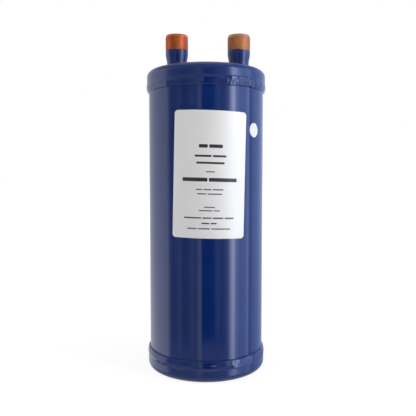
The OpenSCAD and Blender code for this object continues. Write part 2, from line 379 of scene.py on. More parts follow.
orange_peel = make_orange_peel()
handling = make_handling()
tarnish = make_tarnish()


def place_group(bench, group, **values):
    made = bench.node("ShaderNodeGroup", node_tree=group)
    for name, value in values.items():
        made.inputs[name.replace("_", " ")].default_value = value
    return made.outputs


# Finishes


def finish(name):
    material = bpy.data.materials.new(name)
    material.use_nodes = True
    return material, Bench(material.node_tree), material.node_tree.nodes["Principled BSDF"].inputs


def bumped(bench, height, depth):
    """A normal from a height that runs from 0 to 1 over the given depth."""
    return bench.out("ShaderNodeBump", {"Strength": 1.0, "Distance": depth, "Height": height})


def enamel_coat(bench, clean, handled, **peel_values):
    """Colour, roughness and height of the sprayed blue enamel."""
    peel = place_group(bench, orange_peel, **peel_values)
    smudge = place_group(bench, handling)["Smudge"]
    colour = bench.mix_colour(peel["Film"], NAVY, NAVY_THIN)
    roughness = bench.ramp(smudge, 0.0, SMUDGE_FULL, clean, handled)
    return colour, roughness, peel["Height"]


def blue_enamel(name, clean, handled, relief, **peel_values):
    """Enamel on plain steel: roughness where clean and where handled, and the peel's depth."""
    material, bench, shader = finish(name)
    colour, roughness, height = enamel_coat(bench, clean, handled, **peel_values)
    bench.feed(shader["Base Color"], colour)
    bench.feed(shader["Roughness"], roughness)
    bench.feed(shader["Normal"], bumped(bench, height, relief))
    return material


def weld_enamel(name, chip_place, chip_size):
    """The same enamel over a bead, with one small chip down to the weld."""
    material, bench, shader = finish(name)
    colour, roughness, height = enamel_coat(
        bench, clean=0.09, handled=0.15, Peel_Scale=480.0, Wave_Scale=210.0
    )
    place = bench.object_place()
    off = bench.out("ShaderNodeVectorMath", {0: place, 1: chip_place}, operation="SUBTRACT")
    chip_w, chip_h = chip_size
    gap = bench.length(bench.stretched(off, (2 / chip_w, 2 / chip_w, 2 / chip_h)))
    rough_edge = bench.noise(place, scale=600.0, detail=4.0, seed=9.4)
    ragged = bench.ramp(rough_edge, NOISE_LOW, NOISE_HIGH, 0.7, 1.3)
    chip = bench.ramp(bench.times(gap, ragged), 1.05, 0.65, smooth=True)
    bench.feed(shader["Base Color"], bench.mix_colour(chip, colour, BARE_WELD))
    bench.feed(shader["Roughness"], bench.mix(chip, roughness, CHIP_ROUGH))
    bench.feed(shader["Normal"], bumped(bench, bench.minus(height, chip), CHIP_DEPTH))
    return material


def port_copper(name, tone, rim_tone, centre_x, enamel_up, polish, shine, painted_side_shade, seed):
    """Bare copper above, enamel below an uneven masked edge."""
    material, bench, shader = finish(name)
    place = bench.object_place()
    axes = bench.axes(place)

    def straying(scale, detail, reach):
        noise = bench.noise(place, scale, detail, seed)
        return bench.ramp(noise, NOISE_LOW, NOISE_HIGH, -reach, reach)

    # Copper: drawing lines, stains, shade painted darker towards both sides, and a ring at the mouth
    marks = place_group(bench, tarnish, Stain_Scale=150.0, Line_Scale=700.0)
    lines = bench.ramp(marks["Lines"], 0.35, 0.65)
    worn = bench.mix_colour(bench.times(lines, polish), tone, COPPER_BRIGHT)
    # Painted shade: the copper turns brown towards its left and right edges
    left = bench.ramp(axes["X"], centre_x, centre_x - TUBE_R, 0.0, painted_side_shade, smooth=True)
    right_x, right_painted_shade = centre_x + RIGHT_FROM, RIGHT_SHADE_SHARE * painted_side_shade
    right = bench.ramp(axes["X"], right_x, centre_x + TUBE_R, 0.0, right_painted_shade, smooth=True)
    # Darkest of the painted side shade and the stains
    stains_and_painted_shade = bench.larger(bench.larger(left, right), bench.times(marks["Stain"], STAIN_SHARE))
    stained = bench.mix_colour(stains_and_painted_shade, worn, COPPER_BROWN)
    over_ring = bench.minus(
        bench.minus(axes["Z"], mouth_z - RING_W), straying(scale=260.0, detail=2.0, reach=RING_WANDER)
    )
    ring = bench.ramp(over_ring, 0.0, RING_SOFT, 0.0, RING_SHARE, smooth=True)
    seam = bench.ramp(bench.size_of(over_ring), SEAM_W, 0.0, 0.0, SEAM_SHARE, smooth=True)
    ringed = bench.mix_colour(ring, stained, rim_tone)
    copper = bench.mix_colour(seam, ringed, COPPER_BROWN)
    copper_rough = bench.ramp(marks["Stain"], 0.0, 1.0, *COPPER_ROUGH)
    # Enamel up to its edge, with runs down the neck
    colour, rough, peel = enamel_coat(
        bench, clean=0.20, handled=0.27, Peel_Scale=520.0, Wave_Scale=170.0, Wave_Share=0.7
    )
    down = bench.stretched(place, (1, 1, 0.10))
    runs = bench.noise(down, scale=380.0, detail=1.0, seed=seed + 3.0)
    edge_z = bench.plus(straying(scale=160.0, detail=3.0, reach=MASK_WANDER), body_top + enamel_up)
    bare = bench.ramp(bench.minus(axes["Z"], edge_z), -MASK_SOFT, MASK_SOFT, smooth=True)
    bench.feed(shader["Base Color"], bench.mix_colour(bare, colour, copper))
    bench.feed(shader["Metallic"], bench.times(bare, shine))
    bench.feed(shader["Roughness"], bench.mix(bare, rough, copper_rough))
    coat = bench.plus(bench.mix(RUN_SHARE, peel, runs), COAT_STEP)
    drawn = bench.times(marks["Lines"], LINE_SHARE)
    bench.feed(shader["Normal"], bumped(bench, bench.mix(bare, coat, drawn), PORT_RELIEF))
    return material


def bare_metal(name, bright, dark, clean, stained):
    """Clean metal inside the vessel, stained in places: two colours and their roughness."""
    material, bench, shader = finish(name)
    marks = place_group(bench, tarnish, Stain_Scale=90.0)
    bench.feed(shader["Base Color"], bench.mix_colour(marks["Stain"], bright, dark))
    bench.feed(shader["Roughness"], bench.ramp(marks["Stain"], 0.0, 1.0, clean, stained))
    bench.feed(shader["Normal"], bumped(bench, marks["Lines"], METAL_RELIEF))
    shader["Metallic"].default_value = 1.0
    return material


def white_film(name, white, soil):
    """Satin white film with a faint grain and a few smudges."""
    material, bench, shader = finish(name)
    place = bench.object_place()
    smudge = place_group(bench, handling, Smudge_Scale=30.0)["Smudge"]
    cloud = bench.noise(place, scale=24.0, detail=3.0, seed=7.7)
    soiled = bench.mix_colour(bench.ramp(cloud, 0.4, 0.75, 0.0, 0.5), white, soil)
    grain = bench.noise(place, scale=900.0, detail=2.0, seed=1.9)
    bench.feed(shader["Base Color"], soiled)
    bench.feed(shader["Roughness"], bench.ramp(smudge, 0.0, SMUDGE_FULL, *FILM_ROUGH))
    bench.feed(shader["Normal"], bumped(bench, grain, FILM_RELIEF))
    return material


def print_ink():
    """Black print, a little thin in places."""
    material, bench, shader = finish("print ink")
    thin_share = 0.35
    patches = bench.noise(bench.object_place(), scale=800.0, detail=3.0, seed=2.2)
    thin = bench.ramp(patches, 0.45, 0.75, 0.0, thin_share)
    bench.feed(shader["Base Color"], bench.mix_colour(thin, INK_BLACK, INK_THIN))
    bench.feed(shader["Roughness"], bench.ramp(thin, 0.0, thin_share, *INK_ROUGH))
    return material


# Pieces


def grow(name, tree, values, start=None):
    """Runs a geometry node tree once and keeps the result as a plain mesh at the origin."""
    piece = bpy.data.objects.new(name, start or bpy.data.meshes.new(name))
    bpy.context.scene.collection.objects.link(piece)
    modifier = piece.modifiers.new(tree.name, "NODES")
    modifier.node_group = tree
    for item in tree.interface.items_tree:
        if item.in_out == "INPUT" and item.name in values:
            modifier[item.identifier] = values[item.name]
    evaluated = piece.evaluated_get(bpy.context.evaluated_depsgraph_get())
    mesh = bpy.data.meshes.new_from_object(evaluated)
    piece.modifiers.remove(modifier)
    piece.data = mesh
    mesh.name = name
    return piece


def geometry_tree(name, inputs):
    """A geometry node tree with named inputs: a float, an integer or a material each."""
    tree = bpy.data.node_groups.new(name, "GeometryNodeTree")
    tree.interface.new_socket("Geometry", in_out="INPUT", socket_type="NodeSocketGeometry")
    kinds = {float: "NodeSocketFloat", int: "NodeSocketInt", None: "NodeSocketMaterial"}
    for label, kind in inputs.items():
        tree.interface.new_socket(label, in_out="INPUT", socket_type=kinds[kind])
    tree.interface.new_socket("Geometry", in_out="OUTPUT", socket_type="NodeSocketGeometry")
    bench = Bench(tree)
    return tree, bench, bench.node("NodeGroupInput").outputs


def end_tree(bench, geometry, merge, material):
    """Every tree ends in a closed plain mesh with its finish set."""
    closed = bench.out("GeometryNodeMergeByDistance", {"Geometry": geometry, "Distance": merge})
    real = bench.out("GeometryNodeRealizeInstances", {0: closed})
    done = bench.out("GeometryNodeSetMaterial", {"Geometry": real, "Material": material})
    bench.node("NodeGroupOutput", {0: done})


def girth_weld_tree():
    """A weld bead round the shell: an arc from toe to toe with ripples, lumps, spatter and a stop."""
    tree, bench, given = geometry_tree(
        "Girth weld",
        {
            "Seam Height": float, "Cap Side": float, "Arc Radius": float,
            "Centre Radius": float, "Centre Offset": float,
            "Shell Toe": float, "Cap Toe": float,
            "Steps Round": int, "Steps Across": int,
            "Ripples": float, "Ripple Height": float,
            "Lump Size": float, "Lump Height": float, "Seed": float, "Flatness": float,
            "Stop Angle": float, "Stop Width": float,
            "Busy Angle": float, "Busy Width": float,
            "Spatter Size": float, "Spatter Height": float,
            "Wander": float, "Toe Dip": float,
            "Crater Angle": float, "Crater Radius": float, "Crater Height": float,
            "Material": None,
        },
    )
    arc_radius, shell_toe, cap_toe = given["Arc Radius"], given["Shell Toe"], given["Cap Toe"]
    grid = bench.out(
        "GeometryNodeMeshGrid",
        {
            "Size X": 1.0, "Size Y": 1.0,
            "Vertices X": given["Steps Round"], "Vertices Y": given["Steps Across"],
        },
    )
    flat = bench.axes(bench.out("GeometryNodeInputPosition"))
    turn = bench.times(flat["X"], 2 * math.pi)
    along = bench.plus(flat["Y"], 0.5)
    share = bench.over(along, FACE_SHARE)

    def on_arc(angle):
        r = bench.times_plus(bench.cosine(angle), arc_radius, given["Centre Radius"])
        s = bench.times_plus(bench.sine(angle), arc_radius, given["Centre Offset"])
        return r, s

    def round_axis(r, z):
        return bench.point(bench.times(bench.cosine(turn), r), bench.times(bench.sine(turn), r), z)

    def near(angle, width):
        """1 about an angle, and 0 outside the width."""
        off = bench.size_of(bench.minus(turn, angle))
        return bench.ramp(bench.over(off, bench.times(width, 0.5)), 1.0, 0.5, smooth=True)

    # Section: the outer arc, then straight back inside the metal
    lean = bench.ramp(along, 0.0, FACE_SHARE, shell_toe, cap_toe)
    back = bench.ramp(along, FACE_SHARE, 1.0)
    returning = bench.mix(back, lean, shell_toe)
    on_chord = bench.calc("GREATER_THAN", back, 0.0)
    arc_r, arc_s = on_arc(lean)
    end_r, end_s = on_arc(shell_toe)
    base_r = bench.mix(back, arc_r, end_r)
    base_s = bench.mix(back, arc_s, end_s)
    place = round_axis(base_r, base_s)
    # Stop: a short smooth stretch where the bead was closed. Busy: where it spattered
    stop = near(given["Stop Angle"], given["Stop Width"])
    busy = near(given["Busy Angle"], given["Busy Width"])
    # Flatness: how far the arc's flanks fill out to the height of its crown. The cap's flank is long
    # and flush, steeper at the stop, and a step where it spattered
    middle_lean = bench.times(bench.plus(shell_toe, cap_toe), 0.5)
    edge_drop = bench.cosine(bench.minus(cap_toe, middle_lean))
    arc_rise = bench.minus(bench.cosine(bench.minus(lean, middle_lean)), edge_drop)
    crown = bench.minus(1.0, edge_drop)
    lump_scale = bench.over(1.0, given["Lump Size"])
    drift_seed = bench.plus(given["Seed"], DRIFT_SEED)
    drifting = bench.noise(place, bench.times(lump_scale, DRIFT_SCALE), detail=1.0, seed=drift_seed)
    drift = bench.ramp(drifting, NOISE_LOW, NOISE_HIGH, -1.0, 1.0)
    edge = bench.times_plus(drift, -EDGE_DRIFT, share)
    flank_in = bench.ramp(edge, *SHELL_FLANK, smooth=True)
    flush = bench.ramp(share, *CAP_FLANK)
    stepped = bench.mix(busy, flush, bench.ramp(share, *SPATTER_FLANK, smooth=True))
    flank_out = bench.mix(stop, stepped, bench.ramp(share, *STOP_FLANK, smooth=True))
    plateau = bench.times(bench.times(flank_in, flank_out), crown)
    fill = bench.times(bench.minus(plateau, arc_rise), arc_radius)
    # Relief: crescent ripples, broad lumps and spatter, and none of them at the stop
    broad = bench.noise(place, lump_scale, detail=2.0, seed=given["Seed"])
    lumps = bench.ramp(broad, 0.25, 0.75, -1.0, 1.0)
    crescent = bench.times(bench.square(bench.plus(lean, CRESCENT_LEAN)), CRESCENT_BEND)
    sway = bench.times(lumps, RIPPLE_SWAY)
    phase = bench.plus(bench.times_plus(turn, given["Ripples"], crescent), sway)
    ripple = bench.size_of(bench.sine(bench.times(phase, 0.5)))
    patches = bench.noise(place, bench.times(lump_scale, UNEVEN_SCALE), detail=1.0, seed=given["Seed"])
    uneven = bench.ramp(patches, 0.4, 0.65, 0.15, 1.0)
    ripple_rise = bench.times(bench.times(ripple, uneven), given["Ripple Height"])
    rise = bench.times_plus(lumps, given["Lump Height"], ripple_rise)
    spatter_seed = bench.plus(given["Seed"], SPATTER_SEED)
    spatter_scale = bench.over(1.0, given["Spatter Size"])
    grains = bench.noise(place, spatter_scale, detail=0.5, seed=spatter_seed)
    spatter = bench.times(bench.ramp(grains, 0.35, 0.7, -0.6, 1.0), busy)
    rise = bench.times_plus(spatter, given["Spatter Height"], rise)
    rise = bench.mix(stop, rise, 0.0)
    # Crater: a small oval ring at the end of a run
    round_off = bench.times(bench.minus(turn, given["Crater Angle"]), base_r)
    up_off = bench.times(bench.times(bench.plus(lean, CRATER_LEAN), arc_radius), CRATER_SQUASH)
    reach = bench.calc("SQRT", bench.plus(bench.square(round_off), bench.square(up_off)))
    from_ring = bench.minus(bench.over(reach, given["Crater Radius"]), 1.0)
    ring = bench.ramp(bench.size_of(from_ring), CRATER_RING, 0.0, smooth=True)
    inside = bench.ramp(from_ring, CRATER_FLOOR, 0.0, smooth=True)
    rise = bench.mix(inside, rise, 0.0)
    rise = bench.times_plus(ring, given["Crater Height"], rise)
    # Toes: the relief fades out towards them
    fade_in = bench.ramp(share, *RELIEF_ON_SHELL, smooth=True)
    fade_out = bench.ramp(share, *RELIEF_ON_CAP, smooth=True)
    relief = bench.times(rise, bench.times(fade_in, fade_out))
    # On the cap's side the bead melts into the cap
    melted = bench.larger(stop, bench.ramp(share, *MELTED))
    rise = bench.times_plus(fill, bench.mix(melted, given["Flatness"], 1.0), relief)
    # The whole face wanders in and out, but not its toes
    wander_in = bench.ramp(share, *WANDER_ON_SHELL)
    wander_out = bench.ramp(share, *WANDER_ON_CAP, smooth=True)
    wandering = bench.times(drift, bench.times(wander_in, wander_out))
    rise = bench.times_plus(wandering, given["Wander"], rise)
    rise = bench.times(rise, bench.minus(1.0, on_chord))
    # Both toes dip under the metal they lie on
    above = bench.times(bench.ramp(share, *DIP_ON_SHELL), bench.ramp(share, *DIP_ON_CAP))
    rise = bench.minus(rise, bench.mix(above, given["Toe Dip"], 0.0))
    full_r = bench.times_plus(bench.cosine(returning), rise, base_r)
    full_s = bench.times_plus(bench.sine(returning), rise, base_s)
    full = round_axis(full_r, bench.times_plus(full_s, given["Cap Side"], given["Seam Height"]))
    on_face = bench.calc("LESS_THAN", share, 1.0)
    smooth = bench.out("GeometryNodeSetShadeSmooth", {"Geometry": grid, "Shade Smooth": on_face})
    bent = bench.out("GeometryNodeSetPosition", {"Geometry": smooth, "Position": full})
    end_tree(bench, bent, BEAD_MERGE, given["Material"])
    return tree


def wrap_tree():
    """Wraps a flat sheet onto the shell and gives it its thickness."""
    tree, bench, given = geometry_tree(
        "Wrap on shell",
        {
            "Radius": float, "Turn": float, "Height": float, "Tilt": float,
            "Thickness": float, "Material": None,
        },
    )
    flat = bench.axes(bench.out("GeometryNodeInputPosition"))
    cosine = bench.cosine(given["Tilt"])
    sine = bench.sine(given["Tilt"])
    across = bench.times_plus(flat["Y"], sine, bench.times(flat["X"], cosine))
    upward = bench.minus(bench.times(flat["Y"], cosine), bench.times(flat["X"], sine))
    angle = bench.plus(bench.over(across, given["Radius"]), given["Turn"])
    inward = bench.times(given["Radius"], -1.0)
    place = bench.point(
        bench.times(bench.sine(angle), given["Radius"]),
        bench.times(bench.cosine(angle), inward),
        bench.plus(upward, given["Height"]),
    )
    flat_piece = given["Geometry"]
    wrapped = bench.out("GeometryNodeSetPosition", {"Geometry": flat_piece, "Position": place})
    face = bench.out(
        "GeometryNodeExtrudeMesh",
        {"Mesh": wrapped, "Offset Scale": given["Thickness"], "Individual": False},
    )
    backing = bench.out("GeometryNodeFlipFaces", {0: wrapped})
    joined = bench.node("GeometryNodeJoinGeometry")
    bench.feed(joined.inputs[0], face)
    bench.feed(joined.inputs[0], backing)
    end_tree(bench, joined.outputs[0], SHEET_MERGE, given["Material"])
    return tree


def flat_sheet(name, cuts, rows, corner_steps):
    """Flat sheets with round corners: (centre x, centre y, width, height, corner radius) each."""
    shape = bmesh.new()
    bends = [math.pi / 2 * i / corner_steps for i in range(corner_steps + 1)]
    levels = [2 * j / rows - 1 for j in range(rows + 1)]
    for x, y, width, height, corner_r in cuts:
        straight, top = width / 2 - corner_r, height / 2
        middle_steps = math.ceil(2 * straight / SHEET_STEP)
        rim = [(straight + corner_r * math.sin(b), top - corner_r * (1 - math.cos(b))) for b in bends]
        middle = [(straight * (2 * i / middle_steps - 1), top) for i in range(1, middle_steps)]
        columns = [(-u, v) for u, v in reversed(rim)] + middle + rim
        strips = [[shape.verts.new((x + u, y + v * level, 0)) for level in levels] for u, v in columns]
        for left, right in zip(strips, strips[1:]):
            for j in range(rows):
                shape.faces.new((left[j], right[j], right[j + 1], left[j + 1]))
    bmesh.ops.remove_doubles(shape, verts=shape.verts, dist=CUT_MERGE)
    bmesh.ops.dissolve_degenerate(shape, edges=shape.edges, dist=CUT_MERGE)
    mesh = bpy.data.meshes.new(name)
    shape.to_mesh(mesh)
    shape.free()
    return mesh


def rounded(points):
    """A closed outline whose corners (x, y, radius) are rounded by arcs."""
    outline = []
    for i, (x, y, radius) in enumerate(points):
        before = points[i - 1]
        after = points[(i + 1) % len(points)]
        to_before = math.atan2(before[1] - y, before[0] - x)
        to_after = math.atan2(after[1] - y, after[0] - x)
        opening = (to_after - to_before + math.pi) % (2 * math.pi) - math.pi
        if radius == 0:
            outline.append((x, y))
            continue
        middle = to_before + opening / 2
        centre_gap = radius / math.sin(abs(opening) / 2)
        cx = x + centre_gap * math.cos(middle)
        cy = y + centre_gap * math.sin(middle)
        sweep = (math.pi - abs(opening)) * math.copysign(1, opening)
        for k in range(ARC_STEPS + 1):
            angle = middle + math.pi + sweep * (0.5 - k / ARC_STEPS)
            outline.append((cx + radius * math.cos(angle), cy + radius * math.sin(angle)))
    return outline


def turned(name, outline, centre_x, material):
    """A closed outline (radius, height) turned round an upright axis at centre_x."""
    shape = bmesh.new()
    rings = []
    for step in range(LATHE_STEPS):
        angle = 2 * math.pi * step / LATHE_STEPS
        places = [(centre_x + r * math.cos(angle), r * math.sin(angle), z) for r, z in outline]
        rings.append([shape.verts.new(place) for place in places])
    for ring, following in zip(rings, rings[1:] + rings[:1]):
        for i in range(len(outline)):
            j = (i + 1) % len(outline)
            shape.faces.new((ring[i], following[i], following[j], ring[j]))
    bmesh.ops.recalc_face_normals(shape, faces=shape.faces)
    mesh = bpy.data.meshes.new(name)
    shape.to_mesh(mesh)
    shape.free()
    mesh.shade_smooth()
    mesh.set_sharp_from_angle(angle=SHARP_FROM)
    mesh.materials.append(material)
    piece = bpy.data.objects.new(name, mesh)
    bpy.context.scene.collection.objects.link(piece)
    return piece


def port_outline(low, high):
    """Section of a port tube: neck, drawn taper, cup and eased lip."""
    cup_or = (high.x - low.x) / 2
    cup_ir = cup_or - TUBE_WALL
    tube_ir = TUBE_R - TUBE_WALL
    cup_z = high.z - CUP_DEPTH
    taper_z = cup_z - TAPER_LEN
    return rounded([
        (TUBE_R, low.z, 0),
        (TUBE_R, taper_z, DRAW_R),
        (cup_or, cup_z, DRAW_R),
        (cup_or, high.z - LIP_LEN, LIP_R),
        (cup_or - LIP_EASE, high.z, EDGE_R),
        (cup_ir, high.z, EDGE_R),
        (cup_ir, cup_z, DRAW_R),
        (tube_ir, taper_z, DRAW_R),
        (tube_ir, low.z, 0),
    ])


def seat(piece, node):
    """The piece stands for the CAD node, on the one body."""
    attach(piece, "root")
    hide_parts(node)


# Girth welds
toe_shell = (shell_r, -bead_on_shell)
toe_cap = (cap_r, bead_on_cap)


def arc_through(first, second, peak_r):
    """Centre and radius of the arc from first to second that reaches out to peak_r."""
    low, high = 0.0, cap_r
    halvings = 60
    for _ in range(halvings):
        r = (low + high) / 2
        centre_r = peak_r - r
        first_half, second_half = (
            math.sqrt(max(r**2 - (end[0] - centre_r) ** 2, 0)) for end in (first, second)
        )
        too_small = second[1] - first[1] > first_half + second_half
        low, high = (r, high) if too_small else (low, r)
    return centre_r, first[1] + first_half, r


bead_centre_r, bead_centre_s, bead_arc_r = arc_through(toe_shell, toe_cap, bead_peak_r)
weld_tree = girth_weld_tree()


def azimuth(degrees):
    """Angle round the axis of a place so many degrees from the front, towards +X."""
    return math.radians(degrees - 90)


def toe_lean(toe):
    """Direction from the arc's centre to a toe."""
    return math.atan2(toe[1] - bead_centre_s, toe[0] - bead_centre_r)


def girth_weld(node, seam_z, cap_side, seed, stop, busy, crater, material):
    """One bead: stop, busy stretch (middle, width) and crater in degrees from the front."""
    busy_angle, busy_width = busy
    values = {
        "Seam Height": seam_z, "Cap Side": cap_side, "Arc Radius": bead_arc_r,
        "Centre Radius": bead_centre_r, "Centre Offset": bead_centre_s,
        "Shell Toe": toe_lean(toe_shell) - TOE_OVERRUN, "Cap Toe": toe_lean(toe_cap) + TOE_OVERRUN,
        "Steps Round": 1000, "Steps Across": 31,
        "Ripples": 145.0, "Ripple Height": 0.04 * MM,
        "Lump Size": 6.5 * MM, "Lump Height": 0.20 * MM, "Seed": seed, "Flatness": 0.95,
        "Stop Angle": azimuth(stop), "Stop Width": math.radians(23),
        "Busy Angle": azimuth(busy_angle), "Busy Width": math.radians(busy_width),
        "Spatter Size": 5.4 * MM, "Spatter Height": 0.22 * MM,
        "Wander": 0.14 * MM, "Toe Dip": 0.12 * MM,
        "Crater Angle": azimuth(crater), "Crater Radius": 2.4 * MM, "Crater Height": 0.45 * MM,
        "Material": material,
    }
    piece = grow(node + "_bead", weld_tree, values)
    shape = bmesh.new()
    shape.from_mesh(piece.data)
    bmesh.ops.recalc_face_normals(shape, faces=shape.faces)
    shape.to_mesh(piece.data)
    shape.free()
    seat(piece, node)


chip_turn = azimuth(CHIP_AZIMUTH)
chip_z = bottom_seam_z - CHIP_DROP
chip_place = (bead_peak_r * math.cos(chip_turn), bead_peak_r * math.sin(chip_turn), chip_z)
bead_finish = weld_enamel("weld enamel", chip_place, CHIP_SIZE)
girth_weld(
    "top_girth_weld", top_seam_z, cap_side=1.0, seed=3.1,
    stop=4.0, busy=(30.0, 24.0), crater=47.0, material=bead_finish,
)
girth_weld(
    "bottom_girth_weld", bottom_seam_z, cap_side=-1.0, seed=11.7,
    stop=2.0, busy=(48.0, 60.0), crater=70.0, material=bead_finish,
)

# Ports: node, tone, tone of the ring, enamel's height, polish, shine, painted shade of the sides, seed
for node, tone, rim_tone, enamel_up, polish, shine, painted_side_shade, seed in (
    ("inlet_tube", COPPER_RED, COPPER_ROSE, INLET_ENAMEL_UP, 0.42, 0.66, 0.45, 12.0),
    ("outlet_tube", COPPER_TAN, COPPER_DULL, OUTLET_ENAMEL_UP, 0.30, 0.26, 0.8, 21.0),
):
    low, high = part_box(node)
    centre_x = (low.x + high.x) / 2
    name = node.replace("_tube", " copper")
    copper = port_copper(name, tone, rim_tone, centre_x, enamel_up, polish, shine, painted_side_shade, seed)
    seat(turned(node + "_drawn", port_outline(low, high), centre_x, copper), node)

# Label, its print and the dot
wrap = wrap_tree()
film_r = shell_r + GLUE_THICK
ink_r = film_r + FILM_THICK + INK_LIFT
label_z = (label_low.z + label_high.z) / 2
dot_z = (dot_low.z + dot_high.z) / 2
dot_d = dot_high.z - dot_low.z
dot_turn = math.atan2(dot_low.x + dot_high.x, -(dot_low.y + dot_high.y))


def stick(sheet, radius, turn, height, tilt, thickness, material):
    values = {
        "Radius": radius, "Turn": turn, "Height": height, "Tilt": tilt,
        "Thickness": thickness, "Material": material,
    }
    return grow(sheet.name, wrap, values, sheet)


def print_bars():
    """Rectangles of the printed bars, each line centred on the label."""
    cuts = []
    for drop, height, lengths in PRINT_LINES:
        x = -(sum(lengths) + BAR_GAP * (len(lengths) - 1)) / 2
        for length in lengths:
            y = LABEL_H / 2 - drop * MM
            cuts.append(((x + length / 2) * MM, y, length * MM, height * MM, BAR_ROUND * height * MM))
            x += length + BAR_GAP
    return cuts


label_cut = [(0, 0, LABEL_W, LABEL_H, LABEL_CORNER_R)]
label_sheet = flat_sheet("label_sheet", label_cut, rows=8, corner_steps=8)
label_film = white_film("label film", FILM_WHITE, FILM_SOIL)
label = stick(label_sheet, film_r, LABEL_TURN, label_z, LABEL_TILT, FILM_THICK, label_film)
seat(label, "label")

print_sheet = flat_sheet("label_print", print_bars(), rows=1, corner_steps=2)
bars = stick(print_sheet, ink_r, LABEL_TURN, label_z, LABEL_TILT, INK_THICK, print_ink())
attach(bars, "root")

dot_cut = [(0, 0, dot_d, dot_d, dot_d / 2)]
dot_sheet = flat_sheet("dot_film", dot_cut, rows=8, corner_steps=16)
# The dot's film colours hold a painted bluish reflection tint
dot_film = white_film("dot film", DOT_REFLECTION_TINTED_WHITE, DOT_REFLECTION_TINTED_SOIL)
dot = stick(dot_sheet, film_r, dot_turn, dot_z, 0.0, FILM_THICK, dot_film)
seat(dot, "dot_sticker")

# Finishes of the frame's own pieces
tube_enamel = blue_enamel("tube enamel", clean=0.05, handled=0.11, relief=0.02 * MM)
cap_enamel = blue_enamel("cap enamel", clean=0.17, handled=0.25, relief=0.06 * MM, Wave_Scale=120.0)
inner_copper = bare_metal("inner copper", COPPER_BRIGHT, COPPER_RED, clean=0.28, stained=0.45)
filler_metal = bare_metal("brazing filler", FILLER, FILLER_DARK, clean=0.35, stained=0.5)
turned_brass = bare_metal("turned brass", BRASS, BRASS_DARK, clean=0.22, stained=0.4)
plain_steel = bare_metal("plain steel", STEEL, STEEL_DARK, clean=0.3, stained=0.5)
NODE_FINISHES = {
    tube_enamel: ["shell_tube"],
    cap_enamel: ["top_cap", "bottom_cap", "inlet_braze", "outlet_braze"],
    inner_copper: ["inlet_elbow", "u_tube"],
    filler_metal: ["elbow_braze", "u_tube_braze"],
    turned_brass: ["orifice_fitting", "screen_sleeve", "screen_cap"],
    plain_steel: ["screen_clip", "leg_strap_front", "leg_strap_back", "strap_rivet"],
}
for material, names in NODE_FINISHES.items():
    for name in names:
        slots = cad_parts[name].data.materials
        slots.clear()
        slots.append(material)

# Studio: white floor and surround, a room that only reflections show, and lamps
DISC_STEPS = 72
FLOOR_R = 12.0
FLOOR_GREY = (0.8, 0.8, 0.8, 1)
FLOOR_SEEN = (0.25, 0.25, 0.25, 1)
WORLD_FILL = 0.36
# Glow of the floor: from this distance to that one, from this level to that one
FLOOR_GLOW = (0.3, 1.2, 0.86, 1.0)


def seen_share(bench):
    """1 for rays that see the background: camera, glossy and transmission."""
    path = bench.node("ShaderNodeLightPath").outputs
    mirror = bench.larger(path["Is Glossy Ray"], path["Is Transmission Ray"])
    return bench.larger(path["Is Camera Ray"], mirror)


def stage_mesh(name, corners, faces, material):
    mesh = bpy.data.meshes.new(name)
    mesh.from_pydata(corners, [], faces)
    mesh.materials.append(material)
    piece = bpy.data.objects.new(name, mesh)
    bpy.context.scene.collection.objects.link(piece)
    piece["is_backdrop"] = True
    return piece


def stage_disc(name, radius, height, material):
    turns = [2 * math.pi * i / DISC_STEPS for i in range(DISC_STEPS)]
    rim = [(radius * math.cos(turn), radius * math.sin(turn), height) for turn in turns]
    return stage_mesh(name, rim, [list(range(DISC_STEPS))], material)


def stage_finish(name):
    """A material of a stage piece, with an empty tree."""
    material = bpy.data.materials.new(name)
    material.use_nodes = True
    material.node_tree.nodes.clear()
    return material, Bench(material.node_tree)


def white_floor():
    """Pale floor: white to the eye, with a light shadow left under the object."""
    material, bench = stage_finish("white floor")
    plain = bench.out("ShaderNodeBsdfDiffuse", {"Color": FLOOR_GREY})
    thin = bench.out("ShaderNodeBsdfDiffuse", {"Color": FLOOR_SEEN})
    level = bench.ramp(bench.length(bench.object_place()), *FLOOR_GLOW, smooth=True)
    glow = bench.out("ShaderNodeEmission", {"Color": WHITE, "Strength": level})
    seen = bench.out("ShaderNodeAddShader", {0: thin, 1: glow})
    both = bench.out("ShaderNodeMixShader", {0: seen_share(bench), 1: plain, 2: seen})
    bench.node("ShaderNodeOutputMaterial", {0: both})
    return material


floor = stage_disc("floor", FLOOR_R, 0, white_floor())
floor.visible_glossy = False

world = bpy.data.worlds.new("white surround")
bpy.context.scene.world = world
world.use_nodes = True
world_bench = Bench(world.node_tree)
sky = world.node_tree.nodes["Background"].inputs
world_bench.feed(sky["Strength"], world_bench.mix(seen_share(world_bench), WORLD_FILL, 1.0))
sky["Color"].default_value = WHITE

# The room: its tone by the angle round the object (degrees from the front, tone), with soft boxes on
# both sides, a dark gap round the camera, and plain tones above and below
ROOM_R = 2.0
ROOM_LOW, ROOM_HIGH = -2.2, 4.0
ROOM_STEPS = 48
ROOM_LEVEL = 6.0
ROOM_TONES = [
    (-165, 0.60), (-145, 0.78), (-120, 1.05), (-92, 1.32), (-81, 1.28), (-76, 0.50), (-70, 0.22),
    (-61, 0.25), (-53, 0.43), (-45, 0.18), (-35, 0.20), (-27, 0.41), (-20, 0.25), (-12, 0.80),
    (-9.5, 0.80), (-7.5, 0.0), (14, 0.0), (22, 0.44), (26, 0.38), (30, 0.25), (36, 0.36), (44, 1.0),
    (51, 4.6), (54, 5.9), (57, 4.8), (61, 2.3), (70, 1.36), (84, 1.34), (91, 2.0), (96, 0.50),
    (106, 0.82), (165, 0.66),
]
ROOM_FROM, ROOM_TO = ROOM_TONES[0][0], ROOM_TONES[-1][0]
COOL_FROM, COOL_TO = math.radians(40), math.radians(66)
COOL_TINT = (1.0, 1.20, 1.75, 1)
BOX_LOW, BOX_HIGH, BOX_EDGE = -1.0, 1.4, 0.2
